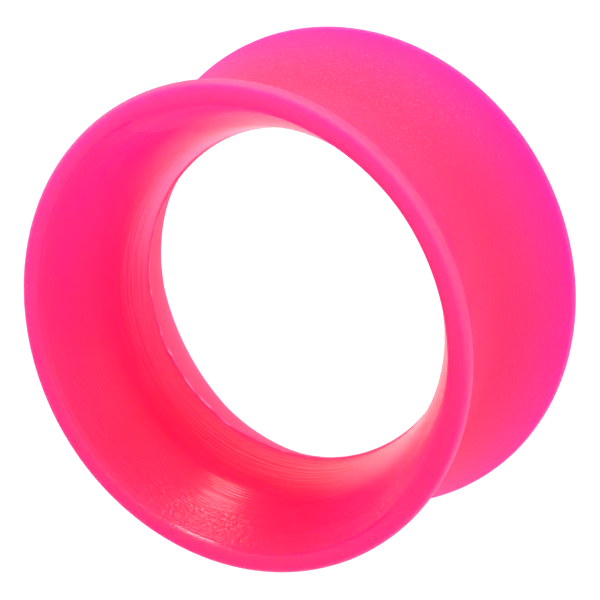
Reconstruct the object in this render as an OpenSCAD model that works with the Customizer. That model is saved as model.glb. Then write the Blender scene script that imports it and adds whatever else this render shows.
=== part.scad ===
// Double flared ear tunnel, moulded in one piece from soft silicone.
// It lies on one rim: the axis of the bore is Z, and the lower rim's face is at z = 0.

/* [Waist] */
// Outside diameter at the waist, the gauge that the stretched lobe closes on
gauge_d = 22; // [14:0.5:32]
// Thickness of the wall at the waist
waist_wall = 1.4; // [1.2:0.1:1.8]

/* [Flares] */
// Width from rim to rim
total_w = 13.5; // [12.5:0.25:14.5]
// How far each rim stands out past the waist, on one side
flare_rise = 2.95; // [2.7:0.05:3.3]
// Angle between the axis and the back of a flare, which bears on the lobe
back_angle = 32; // [30:0.5:34]

/* [Bore] */
// Angle between the axis and the bore where its two halves meet at the waist
meet_angle = 10.5; // [4:0.5:14]
// Radius of the curve that opens each half of the bore, seen in section
bore_curve_r = 11.5; // [10:0.25:13]
// Angle between the axis and the straight flare at each mouth of the bore
mouth_angle = 34.6; // [32:0.1:36]

/* [Rims] */
// Width of the straight band round the outer edge of each rim
rim_band = 0.7; // [0.6:0.05:0.9]
// Rounding between a rim's face and its outer band
edge_round = 0.28; // [0.15:0.01:0.35]
// Rounding between a rim's face and the mouth of the bore
mouth_round = 0.4; // [0.25:0.05:0.5]
// Rounding between a rim's outer band and the back of its flare
back_round = 0.5; // [0.3:0.05:0.6]

/* [Hidden] */
silicone = [0.99, 0.19, 0.42];
$fn = 240;

// Heights in the section are counted from the waist, up to the rim's face
rim_h = total_w / 2;
waist_r = gauge_d / 2;
bore_r = waist_r - waist_wall;
rim_r = waist_r + flare_rise;

// Groove for the lobe: an arc at the waist that runs on as the straight back of each flare
band_h = rim_h - rim_band;
groove_r = (waist_r - rim_r + band_h * tan(back_angle))
    / (sin(back_angle) * tan(back_angle) - 1 + cos(back_angle));
groove_end = [waist_r + groove_r * (1 - cos(back_angle)), groove_r * sin(back_angle)];

// Bore: each half is an arc that starts at the meeting angle and runs on as a straight flare
bore_centre = [bore_r + bore_curve_r * cos(meet_angle), -bore_curve_r * sin(meet_angle)];
bore_end = bore_centre + bore_curve_r * [-cos(mouth_angle), sin(mouth_angle)];
mouth_corner = bore_end + (rim_h - bore_end[1]) * [tan(mouth_angle), 1];

// Corners of the lip, and how far from each corner its rounding touches the sides
edge_corner = [rim_r, rim_h];
back_corner = [rim_r, band_h];
mouth_reach = mouth_round * tan(45 - mouth_angle / 2);
back_reach = back_round * tan(back_angle / 2);

// Area that holds the inner side of the curved half of the bore: it reaches into the wall, and
// a little past the end of the curve
into_wall = waist_wall / 4;
past_curve = 0.1;
bore_lining = [
    [bore_r - waist_wall, 0],
    [bore_r + 3 * into_wall, 0],
    bore_end + [into_wall, past_curve],
    bore_end + [-waist_wall, past_curve],
];

// Upper half of the outline of the section, from the waist's outside round to the bore
half_outline = [
    [waist_r, 0],
    groove_end,
    back_corner - back_reach * [sin(back_angle), cos(back_angle)],
    back_corner + [0, back_reach],
    edge_corner - [0, edge_round],
    edge_corner - [edge_round, 0],
    mouth_corner + [mouth_reach, 0],
    mouth_corner - mouth_reach * [sin(mouth_angle), cos(mouth_angle)],
    bore_end,
    [bore_r + 2 * into_wall, 0],
];
last = len(half_outline) - 1;
lower_outline = [for (i = [last - 1 : -1 : 1]) [half_outline[i][0], -half_outline[i][1]]];

// What the upper half has besides its straight-sided outline: rounded lip and curved bore
module upper_curves() {
    translate(edge_corner - [edge_round, edge_round]) circle(r = edge_round);
    translate(back_corner + [-back_round, back_reach]) circle(r = back_round);
    translate(mouth_corner + [mouth_reach, -mouth_round]) circle(r = mouth_round);
    intersection() {
        translate(bore_centre) circle(r = bore_curve_r);
        polygon(bore_lining);
    }
}

// Section of the wall on one side of the axis
module wall_section() {
    difference() {
        polygon(concat(half_outline, lower_outline));
        translate([waist_r + groove_r, 0]) circle(r = groove_r);
    }
    upper_curves();
    mirror([0, 1]) upper_curves();
}

module tunnel() {
    color(silicone) translate([0, 0, rim_h]) rotate_extrude() wall_section();
}

tunnel();
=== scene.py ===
import math

import bmesh
import bpy
from mathutils import Matrix, Quaternion, Vector, noise


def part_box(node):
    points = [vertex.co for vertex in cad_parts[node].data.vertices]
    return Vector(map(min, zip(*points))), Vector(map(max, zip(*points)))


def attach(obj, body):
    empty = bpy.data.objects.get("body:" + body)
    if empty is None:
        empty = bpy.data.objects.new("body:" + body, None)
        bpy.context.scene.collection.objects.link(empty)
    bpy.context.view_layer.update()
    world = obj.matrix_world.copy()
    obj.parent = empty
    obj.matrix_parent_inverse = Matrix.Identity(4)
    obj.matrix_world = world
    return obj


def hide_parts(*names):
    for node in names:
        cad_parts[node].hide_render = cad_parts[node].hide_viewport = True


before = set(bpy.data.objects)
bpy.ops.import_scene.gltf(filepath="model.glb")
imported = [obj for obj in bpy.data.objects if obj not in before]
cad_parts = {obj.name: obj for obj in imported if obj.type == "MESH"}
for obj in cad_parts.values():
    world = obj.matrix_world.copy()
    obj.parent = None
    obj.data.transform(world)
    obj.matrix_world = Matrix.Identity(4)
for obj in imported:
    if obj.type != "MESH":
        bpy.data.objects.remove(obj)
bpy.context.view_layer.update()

MM = 0.001

# Sizes of the section, in millimetres. The rim's radius and height come from the frame,
# heights are counted from the waist, and angles are taken from the axis of the bore.
low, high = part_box("tunnel")
CENTRE = (low + high) / 2
RIM_R = (high.x - low.x) / 2 / MM
RIM_H = (high.z - low.z) / 2 / MM
WAIST_R = 11.0
WAIST_WALL = 1.4
RIM_BAND = 0.7
BACK_ANGLE = math.radians(32)
MEET_ANGLE = math.radians(10.5)
MOUTH_ANGLE = math.radians(34.6)
BORE_CURVE_R = 11.5
EDGE_ROUND = 0.36
MOUTH_ROUND = 0.65
BACK_ROUND = 0.5
BORE_R = WAIST_R - WAIST_WALL

# Steps round the bore, and the equal wedges that they are made in
ROUND_STEPS = 640
WEDGES = 32

# Points that are closer together than this, in millimetres, are one point
MERGE = 0.001


def flat(radius, height):
    """A point of the section, which is drawn on the plane through the axis."""
    return Vector((radius, 0, height))


def along(angle):
    """Direction that runs up and outwards, at an angle to the axis."""
    return flat(math.sin(angle), math.cos(angle))


# Back of the upper flare: an arc round the waist, then a straight cone
BAND_H = RIM_H - RIM_BAND
GROOVE_R = (WAIST_R - RIM_R + BAND_H * math.tan(BACK_ANGLE)) / (
    math.sin(BACK_ANGLE) * math.tan(BACK_ANGLE) - 1 + math.cos(BACK_ANGLE)
)
GROOVE_CENTRE = flat(WAIST_R + GROOVE_R, 0)
GROOVE_END = GROOVE_CENTRE + GROOVE_R * flat(-math.cos(BACK_ANGLE), math.sin(BACK_ANGLE))
BACK_REACH = BACK_ROUND * math.tan(BACK_ANGLE / 2)
BACK_END = flat(RIM_R, BAND_H) - BACK_REACH * along(BACK_ANGLE)
BAND_START = flat(RIM_R, BAND_H + BACK_REACH)
BAND_END = flat(RIM_R, RIM_H - EDGE_ROUND)

# Upper half of the bore: an arc from the parting line, then a straight flare
BORE_CENTRE = flat(
    BORE_R + BORE_CURVE_R * math.cos(MEET_ANGLE), -BORE_CURVE_R * math.sin(MEET_ANGLE)
)
BORE_END = BORE_CENTRE + BORE_CURVE_R * flat(-math.cos(MOUTH_ANGLE), math.sin(MOUTH_ANGLE))
MOUTH_CORNER = BORE_END + (RIM_H - BORE_END.z) / math.cos(MOUTH_ANGLE) * along(MOUTH_ANGLE)
MOUTH_REACH = MOUTH_ROUND * math.tan(math.radians(45) - MOUTH_ANGLE / 2)
MOUTH_RING = MOUTH_CORNER - MOUTH_REACH * along(MOUTH_ANGLE)
INTO_BORE = flat(-math.cos(MOUTH_ANGLE), math.sin(MOUTH_ANGLE))

# Lengths of section, by the mouth and by the waist, that have fine steps
STEP_REACH = 0.7
WAIST_REACH = 0.5


def draw_arc(wire, start, centre, angle, steps):
    """Spins one vertex about a point of the section."""
    point = wire.verts.new(start)
    bmesh.ops.spin(
        wire, geom=[point], cent=centre, axis=(0, 1, 0), dvec=(0, 0, 0), angle=angle, steps=steps,
        space=Matrix(), use_merge=False, use_normal_flip=False, use_duplicate=False,
    )


def draw_line(wire, start, end, steps):
    """Joins two points of the section, with equal steps between them."""
    edge = wire.edges.new((wire.verts.new(start), wire.verts.new(end)))
    bmesh.ops.subdivide_edges(wire, edges=[edge], cuts=steps - 1)


def draw_half_section(wire):
    """The upper half of the section, from the waist's outside round the lip to the bore."""
    draw_arc(wire, flat(WAIST_R, 0), GROOVE_CENTRE, BACK_ANGLE, steps=8)
    draw_line(wire, GROOVE_END, BACK_END, steps=8)
    draw_arc(wire, BACK_END, BAND_START - flat(BACK_ROUND, 0), -BACK_ANGLE, steps=4)
    draw_line(wire, BAND_START, BAND_END, steps=1)
    draw_arc(wire, BAND_END, BAND_END - flat(EDGE_ROUND, 0), -math.pi / 2, steps=4)
    face_end = MOUTH_CORNER + flat(MOUTH_REACH, 0)
    draw_line(wire, flat(RIM_R - EDGE_ROUND, RIM_H), face_end, steps=3)
    mouth_centre = face_end - flat(0, MOUTH_ROUND)
    draw_arc(wire, face_end, mouth_centre, MOUTH_ANGLE - math.pi / 2, steps=7)
    step_end = MOUTH_RING - STEP_REACH * along(MOUTH_ANGLE)
    draw_line(wire, MOUTH_RING, step_end, steps=12)
    draw_line(wire, step_end, BORE_END, steps=6)
    fine_turn = WAIST_REACH / BORE_CURVE_R
    coarse_turn = MEET_ANGLE - MOUTH_ANGLE + fine_turn
    draw_arc(wire, BORE_END, BORE_CENTRE, coarse_turn, steps=10)
    turned = Matrix.Rotation(coarse_turn, 4, "Y")
    fine_start = BORE_CENTRE + turned @ (BORE_END - BORE_CENTRE)
    draw_arc(wire, fine_start, BORE_CENTRE, -fine_turn, steps=12)


def spin_round(mesh, geometry, angle, steps, copies):
    """Spins about the axis of the bore: copies of a piece, or one stretch of surface."""
    bmesh.ops.spin(
        mesh, geom=geometry, cent=(0, 0, 0), axis=(0, 0, 1), dvec=(0, 0, 0), angle=angle,
        steps=steps, space=Matrix(), use_merge=False, use_normal_flip=False, use_duplicate=copies,
    )


def make_tunnel_skin():
    """The whole surface of the tunnel: half a section, mirrored and spun round the bore."""
    skin = bmesh.new()
    draw_half_section(skin)
    bmesh.ops.remove_doubles(skin, verts=skin.verts[:], dist=MERGE)
    bmesh.ops.mirror(skin, geom=skin.verts[:] + skin.edges[:], axis="Z", merge_dist=MERGE)
    wedge = math.tau / WEDGES
    section = skin.verts[:] + skin.edges[:]
    spin_round(skin, section, wedge, ROUND_STEPS // WEDGES, copies=False)
    first_wedge = skin.verts[:] + skin.edges[:] + skin.faces[:]
    spin_round(skin, first_wedge, math.tau - wedge, WEDGES - 1, copies=True)
    bmesh.ops.remove_doubles(skin, verts=skin.verts[:], dist=MERGE)
    bmesh.ops.recalc_face_normals(skin, faces=skin.faces[:])
    station = skin.verts.layers.float.new("station")
    rolled = skin.verts.layers.float.new("rolled")
    for vert in skin.verts:
        vert[station] = station_of(vert.co)
        vert[rolled] = roll_share(vert.co)
        round_off(vert.co)
        if vert[station] > 0:
            bend_flare(vert.co)
            roll_lip(vert.co)
            raise_ridge(vert.co)
            raise_flash(vert.co)
    bmesh.ops.scale(skin, vec=(MM, MM, MM), verts=skin.verts[:])
    bmesh.ops.translate(skin, vec=CENTRE, verts=skin.verts[:])
    for face in skin.faces:
        face.smooth = True
    mesh = bpy.data.meshes.new("tunnel_skin")
    skin.to_mesh(mesh)
    skin.free()
    piece = bpy.data.objects.new("tunnel_skin", mesh)
    bpy.context.scene.collection.objects.link(piece)
    return piece


def station_of(point):
    """How deep a point lies below its rim: above 0 in the bore, and below 0 on the outside."""
    depth = RIM_H - abs(point.z)
    waist_middle = BORE_R + WAIST_WALL / 2
    face_middle = (MOUTH_CORNER.x + RIM_R) / 2
    middle = waist_middle + (face_middle - waist_middle) * abs(point.z) / RIM_H
    return depth if math.hypot(point.x, point.y) < middle else -depth


def wave(point, length, seed):
    """Smooth noise between about -1 and 1 that runs round the bore, with waves of one length."""
    turn = math.atan2(point.y, point.x)
    reach = BORE_R / length
    return noise.noise(Vector((reach * math.cos(turn), reach * math.sin(turn), seed)))


def hump(distance):
    """A smooth hump that is 1 high and ends at a distance of 1."""
    return max(0, 1 - distance**2) ** 2


def push(point, distance):
    """Moves a point of the surface away from the axis."""
    radius = math.hypot(point.x, point.y)
    point.x *= 1 + distance / radius
    point.y *= 1 + distance / radius


# How far the soft waist has drifted to one side, and how far it is out of round
WAIST_DRIFT = 0.094
WAIST_TRILOBE = 0.051


def round_off(point):
    """A soft tube keeps its rims round, but not its waist."""
    turn = math.atan2(point.y, point.x)
    fade = max(0, 1 - (point.z / BAND_H) ** 2)
    push(point, fade * (WAIST_DRIFT * math.cos(turn) - WAIST_TRILOBE * math.sin(3 * turn)))


# The flare of each mouth isn't quite straight: it is a little hollow. The place is a height
# above the waist, and the span is how far the hollow reaches from there.
FLARE_HOLLOW = 0.09
FLARE_HOLLOW_AT = 5.0
FLARE_HOLLOW_SPAN = 1.9


def bend_flare(point):
    """Gives the flare of either mouth its slight curve."""
    push(point, FLARE_HOLLOW * hump((abs(point.z) - FLARE_HOLLOW_AT) / FLARE_HOLLOW_SPAN))


# On one side the lips roll inwards, most of all at one place, and hide the flare behind them.
# The angles run round the bore from +X, and the other places are heights above the waist.
ROLL_SIDE = math.radians(-85)
ROLL_HALF_WAY = math.radians(77)
ROLL_STEEPNESS = 2.2
ROLL_LIP = 0.2
ROLL_LIP_AT = 6.2
ROLL_LIP_SPAN = 1.2
ROLL_FLARE = 0.2
ROLL_FLARE_AT = 4.0
ROLL_FLARE_SPAN = 2.0
ROLL_PEAK = 0.12
ROLL_PEAK_AT = math.radians(-53)
ROLL_PEAK_SPAN = math.radians(36)


def roll_share(point):
    """How far the lip is rolled in at a point's place round the bore, from 0 to 1."""
    turn = math.atan2(point.y, point.x)
    share = 0.5 + ROLL_STEEPNESS * (math.cos(turn - ROLL_SIDE) - math.cos(ROLL_HALF_WAY))
    share = min(1, max(0, share))
    return share**2 * (3 - 2 * share)


def roll_lip(point):
    """Rolls the lips in, and hollows the flare behind them."""
    turn = math.atan2(point.y, point.x)
    peak = ROLL_PEAK * hump((turn - ROLL_PEAK_AT) / ROLL_PEAK_SPAN)
    lip = ROLL_LIP * roll_share(point) + peak
    lip *= hump((abs(point.z) - ROLL_LIP_AT) / ROLL_LIP_SPAN)
    flare = ROLL_FLARE * roll_share(point)
    flare *= hump((abs(point.z) - ROLL_FLARE_AT) / ROLL_FLARE_SPAN)
    push(point, flare - lip)


# Fine ridge round each mouth, where the moulded lip meets the flare. Its outer flank is polished
# and catches the light as a thin bright line. It is more worn in some places than in others.
RIDGE_HEIGHT = 0.01
RIDGE_PLACE = 0.1
RIDGE_WIDTH = 0.065
RIDGE_WEAR = 0.4


def raise_ridge(point):
    """Raises the ridge along the section of either mouth."""
    radius = math.hypot(point.x, point.y)
    inwards = (MOUTH_RING - flat(radius, abs(point.z))).dot(along(MOUTH_ANGLE))
    rise = RIDGE_HEIGHT * math.exp(-(((inwards - RIDGE_PLACE) / RIDGE_WIDTH) ** 2))
    rise *= 1 + RIDGE_WEAR * wave(point, length=3, seed=7)
    push(point, rise * INTO_BORE.x)
    point.z += math.copysign(rise * INTO_BORE.z, point.z)


# Thin flash along the parting line, where the two halves of the core met in the bore. It is low
# where they closed tightly, and high and uneven, with jogs, where they were loose.
FLASH_HEIGHT = 0.08
FLASH_WIDTH = 0.05
FLASH_TIGHT_SHARE = 0.2
FLASH_LOOSE_AT = math.radians(95)
FLASH_LOOSE_SPAN = math.radians(75)
FLASH_FIN = 0.05
FLASH_FIN_AT = math.radians(18)
FLASH_FIN_SPAN = math.radians(32)
FLASH_JOG = 0.06
FLASH_WANDER = 0.04

# The parting line lies a little below the waist and is tilted. The wall follows it, less and
# less with the distance from the line.
PARTING_DROP = 0.25
PARTING_TILT = 0.27
PARTING_HIGH_SIDE = math.radians(15)
PARTING_SPREAD = 1.5


def raise_flash(point):
    """Raises the flash, and lets the parting line tilt, wander and jog."""
    turn = math.atan2(point.y, point.x)
    loose = hump((turn - FLASH_LOOSE_AT) / FLASH_LOOSE_SPAN)
    uneven = 0.9 * wave(point, length=1.2, seed=3) + 0.6 * wave(point, length=0.4, seed=4)
    height = FLASH_TIGHT_SHARE + loose * (1 - FLASH_TIGHT_SHARE + uneven)
    height *= FLASH_HEIGHT
    height += FLASH_FIN * hump((turn - FLASH_FIN_AT) / FLASH_FIN_SPAN)
    push(point, -height * math.exp(-((point.z / FLASH_WIDTH) ** 2)))
    jogs = FLASH_JOG * round(4 * wave(point, length=2.5, seed=9))
    jogs += FLASH_WANDER * wave(point, length=0.8, seed=5)
    drift = loose * jogs - PARTING_DROP + PARTING_TILT * math.cos(turn - PARTING_HIGH_SIDE)
    point.z += drift * math.exp(-((point.z / PARTING_SPREAD) ** 2))


def linear(code):
    """An sRGB hex colour as linear red, green, blue and alpha."""
    parts = [int(code[i:i + 2], 16) / 255 for i in (1, 3, 5)]
    return [c / 12.92 if c <= 0.04045 else ((c + 0.055) / 1.055) ** 2.4 for c in parts] + [1.0]


def add(material, kind, settings=None, links=None):
    """Adds one node, with its settings (properties or inputs) and the outputs that feed it."""
    node = material.node_tree.nodes.new("ShaderNode" + kind)
    for name, value in (settings or {}).items():
        if isinstance(name, str) and hasattr(node, name):
            setattr(node, name, value)
        else:
            node.inputs[name].default_value = value
    for name, socket in (links or {}).items():
        material.node_tree.links.new(node.inputs[name], socket)
    return node


# Colour of the silicone by depth below the rim, in millimetres: the outside is below 0 and the
# bore above it. These colours hold painted light and shade. In the upper half, the side towards
# the key light is painted paler and bluer, for the key light that comes through the wall, and
# the far side is painted deeper red. The lower half has deeper colours, because the white floor
# lights it.
KEY_FAR_PAINT = {
    -6.75: "#fe2878", -1.6: "#fe2890", -0.8: "#fe2080", -0.4: "#fe3080", -0.1: "#ff4688",
    0.0: "#ff3884", 0.35: "#ff2d74",
    1.5: "#fe2068", 3.0: "#fe1a62", 4.05: "#fd2160", 4.55: "#fd1d60", 5.05: "#fd0e62",
    6.0: "#fd0c6a", 6.75: "#fe1464",
}
KEY_NEAR_PAINT = {
    -6.75: "#fe2878", -1.6: "#fe2890", -0.8: "#fe2480", -0.4: "#fe407c", -0.1: "#ff6a9a",
    0.0: "#ff4ca8", 0.35: "#ff40b0",
    1.5: "#ff3ab8", 3.0: "#ff38aa", 4.5: "#fe2898", 6.0: "#fe38ac", 6.75: "#fe38b0",
}
LOWER_HALF = {
    -6.75: "#fe287c", -4.75: "#fe2678", -3.15: "#fe2682", -1.75: "#fe1a9a", -0.9: "#fe049c",
    -0.4: "#fe028c", 0.3: "#fe2480", 5.0: "#fe1a7c", 6.75: "#fe3084",
}
# The side towards the key light, where that light comes through the wall and is painted into the
# ramps
KEY_NEAR_SIDE_AT = math.radians(-27)

# Painted reflection: pale pink by the waist, on the side towards the key light, where the white
# floor shows mirrored at a grazing angle
PAINTED_FLOOR_REFLECTION = "#ffbcea"

# The side that stands away from the lights: bluer in the upper half, and deeper in the lower
SHADED_SIDE_AT = math.radians(203)
SHADED = "#fe3290"
SHADED_LOWER = "#ff00ff"

# Painted shade: the grooves between the turned lines, and the foot of the flash, are painted a
# little darker and redder, for the shade that falls in them
GROOVE_PAINTED_SHADE = "#ffbccb"
FOOT_PAINTED_SHADE = "#ff59a0"

# Pale colour of painted glints on the torn edge of the flash, and of painted sparkle in the
# frosting
PAINTED_GLINT = "#ffb0dc"

# Painted red glow, standing for the fluorescent pigment's own glow, which keeps the shaded parts
# bright red
PAINTED_GLOW = "#ff001a"
PAINTED_GLOW_STRENGTH = 0.4

# Turned lines that the mould's core left in the bore: 0.14 mm apart, like the real ones, and
# drawn deeper than those so that they show. A line stays the same for about 5 mm.
LINE_PITCH = 0.14 * MM
LINE_RUN = 5 * MM
LINE_DEPTH = 0.018 * MM

# Scale at which the wave texture has one wave to a unit of its vector
ONE_WAVE = math.tau / 20

# Pores near the mouth of the bore, drawn coarser than their real 0.1 mm, so that they show
PORE_WIDTH = 0.22 * MM
PORE_DEPTH = 0.05 * MM

# Frosting that the blasted mould left on the outside, drawn coarser than its real 0.05 mm. Its
# pattern also places the painted sparkle.
GRAIN_WIDTH = 0.1 * MM
GRAIN_DEPTH = 0.07 * MM

# Torn stretches of the flash that get a painted glint, as long as the real ones
TEAR_LENGTH = 0.8 * MM

# Roughness of the skin: satin outside, polished on the ridge, dull where the lips roll in, and
# duller in the lower half of the bore. The upper half's changes towards the mouth, so it is
# among the looks below.
OUTSIDE_ROUGHNESS = 0.42
RIDGE_ROUGHNESS = 0.14
ROLLED_ROUGHNESS = 0.9
LOWER_BORE_ROUGHNESS = 0.58

# Silicone rubber bends light a little less than glass does, and red and blue light spread
# further in this pigment than green light: the reach of each is in millimetres
SILICONE_IOR = 1.41
LIGHT_REACH = (2.0, 0.2, 3.0)

# What each look follows, the range of it that counts, and the look's value at both ends of that
# range. The station is a depth below the rim, in millimetres, the height is counted from the
# waist, and a side is 1 at its middle and -1 opposite.
LOOKS = {
    "ramp_place": ("station", "LINEAR", -RIM_H, RIM_H, 0.0, 1.0),
    "in_bore": ("station", "SMOOTHSTEP", 0.0, 0.3, 0.0, 1.0),
    "outside": ("in_bore", "LINEAR", 0.0, 1.0, 1.0, 0.0),
    "behind_rim": ("station", "LINEAR", -1.2, -2.0, 0.0, 1.0),
    "on_ridge": ("station", "LINEAR", 0.42, 0.36, 0.0, 1.0),
    "past_ridge": ("station", "LINEAR", 0.34, 0.42, 0.25, 1.0),
    "bore_roughness": ("station", "LINEAR", 1.9, 1.2, 0.22, 0.26),
    "near_mouth": ("station", "LINEAR", 2.6, 1.2, 0.0, 1.0),
    "behind_lip": ("station", "LINEAR", 2.9, 1.7, 0.0, 1.0),
    "line_evenness": ("station", "LINEAR", 4.4, 3.4, 0.0, 0.4),
    # Deepens the turned lines, and their painted shade, towards the waist
    "line_gain": ("station", "LINEAR", 4.0, 5.4, 1.0, 2.6),
    # A band by the waist that gets the painted floor reflection
    "waist_band": ("station", "SMOOTHSTEP", 4.4, 6.3, 0.0, 0.65),
    # The foot of the flash, where painted shade lies
    "flash_foot": ("station", "LINEAR", 6.5, 6.62, 0.0, 0.9),
    # The flash's crest, which gets painted glints
    "flash_crest": ("station", "LINEAR", 6.68, 6.73, 0.0, 1.0),
    "lower": ("height", "LINEAR", 0.3 * MM, -0.3 * MM, 0.0, 1.0),
    # The next two follow the side towards the key light, where painted key light comes through the
    # wall
    "towards_key": ("key_near_side", "LINEAR", -0.6, 0.9, 0.0, 1.0),
    "clear": ("key_near_side", "SMOOTHSTEP", 0.0, 1.0, 0.0, 1.0),
    "shaded": ("shaded_side", "SMOOTHSTEP", 0.7, 1.0, 0.0, 0.7),
    # Torn stretches of the flash's crest get a painted glint, most on the side away from the key
    # light
    "torn": ("tears", "LINEAR", 0.5, 0.62, 0.25, 0.9),
    "crest_glint_side": ("clear", "LINEAR", 0.0, 1.0, 1.0, 0.0),
    # The painted shade at the flash's foot is strongest on the side towards the key light
    "foot_side": ("clear", "LINEAR", 0.0, 1.0, 0.35, 1.0),
    # Painted sparkle in the frosting, strongest on the side towards the key light and below the
    # rim
    "painted_sparkle": ("grain", "LINEAR", 0.55, 0.7, 0.0, 0.24),
    "sparkle_side": ("clear", "LINEAR", 0.5, 1.0, 0.12, 1.0),
}

# Looks that are products of others, and show only where all of those do
PRODUCTS = {
    # Painted floor reflection by the waist, on the key light's side
    "painted_reflection": ("waist_band", "clear"),
    "line_share": ("past_ridge", "line_gain"),
    "pore_share": ("near_mouth", "past_ridge"),
    # Painted shade in the grooves of the turned lines, and at the flash's foot
    "groove_painted_shade": ("line_tone", "in_bore", "line_gain"),
    "foot_painted_shade": ("flash_foot", "foot_side"),
    # Painted glints on the flash's crest, and painted sparkle in the frosting
    "painted_crest_glint": ("flash_crest", "torn", "crest_glint_side"),
    "outer_painted_sparkle": ("painted_sparkle", "sparkle_side", "behind_rim"),
    "rolled_flare": ("rolled", "behind_lip"),
}


def read_surface(material):
    """What is known at each point of the surface: its place, station, side and patterns."""
    object_place = add(material, "TexCoord").outputs["Object"]
    place = add(material, "Mapping", {"Location": -CENTRE}, {"Vector": object_place}).outputs[0]
    at = {"height": add(material, "SeparateXYZ", links={0: place}).outputs[2]}
    for name in ("station", "rolled"):
        at[name] = add(material, "Attribute", {"attribute_name": name}).outputs["Fac"]
    across = add(material, "VectorMath", {"operation": "MULTIPLY", 1: (1, 1, 0)}, {0: place})
    outwards = add(material, "VectorMath", {"operation": "NORMALIZE"}, {0: across.outputs[0]})
    for name, angle in (("key_near_side", KEY_NEAR_SIDE_AT), ("shaded_side", SHADED_SIDE_AT)):
        side = (math.cos(angle), math.sin(angle), 0)
        at[name] = add(
            material, "VectorMath", {"operation": "DOT_PRODUCT", 1: side}, {0: outwards.outputs[0]}
        ).outputs["Value"]
    run = (1 / LINE_RUN, 1 / LINE_RUN, 1 / LINE_PITCH)
    along_lines = add(
        material, "VectorMath", {"operation": "MULTIPLY", 1: run}, {0: place}
    ).outputs[0]
    for name, width, detail, roughness, vector in (
        ("uneven_lines", 1.0, 2.0, 0.6, along_lines),
        ("pores", PORE_WIDTH, 2.0, 0.6, place),
        ("grain", GRAIN_WIDTH, 2.0, 0.6, place),
        ("tears", TEAR_LENGTH, 1.0, 0.5, place),
    ):
        at[name] = add(
            material, "TexNoise", {"Scale": 1 / width, "Detail": detail, "Roughness": roughness},
            {"Vector": vector},
        ).outputs[0]
    at["even_lines"] = add(
        material, "TexWave",
        {"bands_direction": "Z", "Scale": ONE_WAVE, "Distortion": 2.0, "Detail": 1.0},
        {"Vector": along_lines},
    ).outputs["Fac"]
    return at


def spread_looks(material, at):
    """Works out the value of each look at a point of the surface."""
    for name, (source, blend, start, end, value, end_value) in LOOKS.items():
        at[name] = add(
            material, "MapRange",
            {"interpolation_type": blend, 1: start, 2: end, 3: value, 4: end_value},
            {0: at[source]},
        ).outputs[0]
    at["lines"] = add(
        material, "Mix", links={0: at["line_evenness"], 2: at["uneven_lines"], 3: at["even_lines"]}
    ).outputs[0]
    at["line_tone"] = add(
        material, "MapRange", {1: 0.35, 2: 0.65, 3: 0.0, 4: 0.2}, {0: at["lines"]}
    ).outputs[0]
    for name, (first, *others) in PRODUCTS.items():
        at[name] = at[first]
        for other in others:
            at[name] = add(
                material, "Math", {"operation": "MULTIPLY"}, {0: at[name], 1: at[other]}
            ).outputs[0]


def colour_rubber(material, at):
    """The colour of the silicone, with painted light and shade, and then the painted shade, glints
    and sparkle of the marks on it.
    """
    tints = []
    for stops in (KEY_FAR_PAINT, KEY_NEAR_PAINT, LOWER_HALF):
        tint = add(material, "ValToRGB", links={0: at["ramp_place"]})
        ramp = tint.color_ramp.elements
        ramp.remove(ramp[1])
        for depth, code in stops.items():
            ramp.new((depth + RIM_H) / RIM_H / 2).color = linear(code)
        ramp.remove(ramp[0])
        tints.append(tint.outputs["Color"])
    far_paint, near_paint, lower = tints
    # Upper half: the ramps of the key light's near and far side, then the painted floor
    # reflection, then the side away from the lights
    upper = add(
        material, "Mix", {"data_type": "RGBA"}, {0: at["towards_key"], 6: far_paint, 7: near_paint}
    ).outputs[2]
    for share, code in (("painted_reflection", PAINTED_FLOOR_REFLECTION), ("shaded", SHADED)):
        upper = add(
            material, "Mix", {"data_type": "RGBA", 7: linear(code)}, {0: at[share], 6: upper}
        ).outputs[2]
    lower = add(
        material, "Mix", {"data_type": "RGBA", "blend_type": "MULTIPLY", 7: linear(SHADED_LOWER)},
        {0: at["shaded"], 6: lower},
    ).outputs[2]
    colour = add(
        material, "Mix", {"data_type": "RGBA"}, {0: at["lower"], 6: upper, 7: lower}
    ).outputs[2]
    # Painted shade in the grooves and at the flash's foot, painted glints on the flash's crest,
    # and painted sparkle in the frosting
    for share, blend, code in (
        ("groove_painted_shade", "MULTIPLY", GROOVE_PAINTED_SHADE),
        ("foot_painted_shade", "MULTIPLY", FOOT_PAINTED_SHADE),
        ("painted_crest_glint", "MIX", PAINTED_GLINT),
        ("outer_painted_sparkle", "MIX", PAINTED_GLINT),
    ):
        colour = add(
            material, "Mix", {"data_type": "RGBA", "blend_type": blend, 7: linear(code)},
            {0: at[share], 6: colour},
        ).outputs[2]
    return colour


def cut_relief(material, at):
    """The relief of the skin: turned lines and pores in the bore, and frosting outside."""
    normal = None
    for pattern, share, depth in (
        ("lines", "line_share", LINE_DEPTH),
        ("pores", "pore_share", PORE_DEPTH),
        ("grain", "outside", GRAIN_DEPTH),
    ):
        height = add(
            material, "Math", {"operation": "MULTIPLY"}, {0: at[pattern], 1: at[share]}
        ).outputs[0]
        links = {"Height": height, "Normal": normal} if normal else {"Height": height}
        normal = add(material, "Bump", {"Strength": 1.0, "Distance": depth}, links).outputs[0]
    return normal


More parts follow.
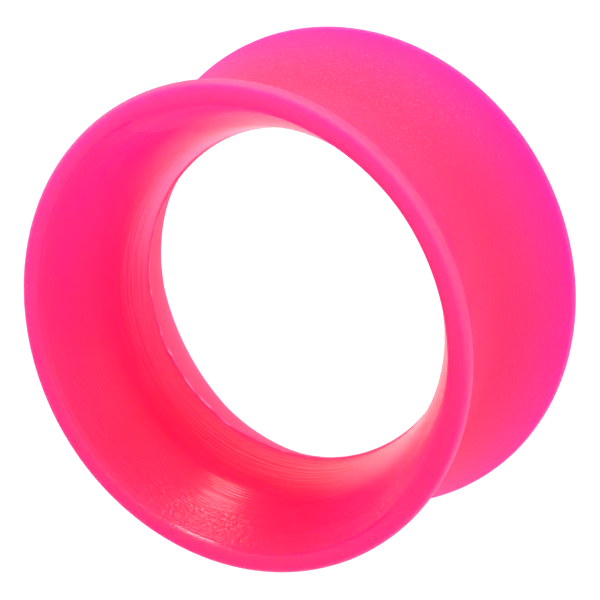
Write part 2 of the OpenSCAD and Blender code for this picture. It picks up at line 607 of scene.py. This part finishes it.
def polish_skin(material, at):
    """How rough the skin is in the bore, on its ridges and lips, and outside."""
    upper = at["bore_roughness"]
    for share, roughness in (
        ("on_ridge", RIDGE_ROUGHNESS), ("rolled_flare", ROLLED_ROUGHNESS),
        ("outside", OUTSIDE_ROUGHNESS),
    ):
        upper = add(material, "Mix", {3: roughness}, {0: at[share], 2: upper}).outputs[0]
    lower = add(
        material, "Mix", {2: OUTSIDE_ROUGHNESS, 3: LOWER_BORE_ROUGHNESS}, {0: at["in_bore"]}
    ).outputs[0]
    return add(material, "Mix", links={0: at["lower"], 2: upper, 3: lower}).outputs[0]


def make_silicone():
    """Neon pink silicone rubber, moulded.

    It is soft and translucent, so light that enters the wall spreads in it and no edge looks
    hard. A painted red glow stands for its fluorescent pigment and keeps every shade vivid, and
    its satin skin gives wide, soft highlights. Its colours hold painted light, shade, glints and
    sparkle.
    """
    material = bpy.data.materials.new("neon pink silicone, moulded")
    material.use_nodes = True
    material.node_tree.nodes.clear()
    at = read_surface(material)
    spread_looks(material, at)
    body = add(
        material, "BsdfPrincipled",
        {
            "IOR": SILICONE_IOR, "Subsurface Weight": 1.0,
            "Subsurface Radius": LIGHT_REACH, "Subsurface Scale": 1.0 * MM,
            "Emission Color": linear(PAINTED_GLOW), "Emission Strength": PAINTED_GLOW_STRENGTH,
        },
        {
            "Base Color": colour_rubber(material, at), "Roughness": polish_skin(material, at),
            "Normal": cut_relief(material, at),
        },
    )
    add(material, "OutputMaterial", links={"Surface": body.outputs[0]})
    return material


# Radius of the floor, in metres: it reaches past the edges of every picture
FLOOR_RADIUS = 1.5


def make_floor():
    """A plain white surface that shines faintly, as a light table does."""
    disc = bmesh.new()
    bmesh.ops.create_circle(disc, cap_ends=True, segments=96, radius=FLOOR_RADIUS)
    mesh = bpy.data.meshes.new("floor")
    disc.to_mesh(mesh)
    disc.free()
    floor = bpy.data.objects.new("floor", mesh)
    bpy.context.scene.collection.objects.link(floor)
    material = bpy.data.materials.new("white acrylic, lit from below")
    material.use_nodes = True
    material.node_tree.nodes.clear()
    body = add(
        material, "BsdfPrincipled",
        {
            "Base Color": linear("#999999"), "Roughness": 0.8,
            "Emission Color": linear("#ffffff"), "Emission Strength": 1.0,
        },
    )
    add(material, "OutputMaterial", links={"Surface": body.outputs[0]})
    mesh.materials.append(material)


# The camera, in metres and degrees: how far its view tilts off the bore's axis, and how far it
# is rolled, so that the axis runs down to the left of the picture
VIEW_TILT = math.radians(33.5)
VIEW_ROLL = math.radians(-119.07)
VIEW_DISTANCE = 0.2778


def make_camera():
    """A long lens, as for a product photograph, shifted to place the tunnel in the picture."""
    data = bpy.data.cameras.new("camera")
    data.sensor_width = 36
    data.lens = 300
    data.shift_x = 0.0020
    data.shift_y = -0.0045
    data.clip_start = 0.01
    data.clip_end = 20
    camera = bpy.data.objects.new("camera", data)
    bpy.context.scene.collection.objects.link(camera)
    outwards = Vector((0, -math.sin(VIEW_TILT), math.cos(VIEW_TILT)))
    upright = (-outwards).to_track_quat("-Z", "Y")
    camera.location = CENTRE + outwards * VIEW_DISTANCE
    camera.rotation_mode = "QUATERNION"
    camera.rotation_quaternion = upright @ Quaternion((0, 0, 1), VIEW_ROLL)
    bpy.context.scene.camera = camera


def make_light(name, azimuth, elevation, distance, width, height, brightness):
    """A soft light that looks at the tunnel. Azimuth 0 stands on the side of -Y, and 90 on +X."""
    data = bpy.data.lights.new(name, "AREA")
    data.shape = "RECTANGLE"
    data.size = width
    data.size_y = height
    data.energy = brightness * math.pi * width * height
    light = bpy.data.objects.new(name, data)
    bpy.context.scene.collection.objects.link(light)
    light.visible_camera = False
    turn, rise = math.radians(azimuth), math.radians(elevation)
    outwards = Vector(
        (math.sin(turn) * math.cos(rise), -math.cos(turn) * math.cos(rise), math.sin(rise))
    )
    light.location = CENTRE + outwards * distance
    light.rotation_mode = "QUATERNION"
    light.rotation_quaternion = (-outwards).to_track_quat("-Z", "Y")


# Even light from all round, as in a white tent
WORLD_BRIGHTNESS = 0.47


def make_world():
    """A white studio, shown in plain sRGB colours."""
    world = bpy.data.worlds.new("white studio")
    world.use_nodes = True
    background = world.node_tree.nodes["Background"]
    background.inputs["Color"].default_value = linear("#ffffff")
    background.inputs["Strength"].default_value = WORLD_BRIGHTNESS
    bpy.context.scene.world = world
    bpy.context.scene.view_settings.view_transform = "Standard"


make_camera()
make_world()
make_floor()
make_light(
    "key", azimuth=66, elevation=11, distance=0.35, width=0.09, height=0.05, brightness=24
)
make_light("top", azimuth=15, elevation=45, distance=0.5, width=0.8, height=0.6, brightness=0.6)

tunnel_skin = make_tunnel_skin()
tunnel_skin.data.materials.append(make_silicone())
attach(tunnel_skin, "root")
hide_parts("tunnel")
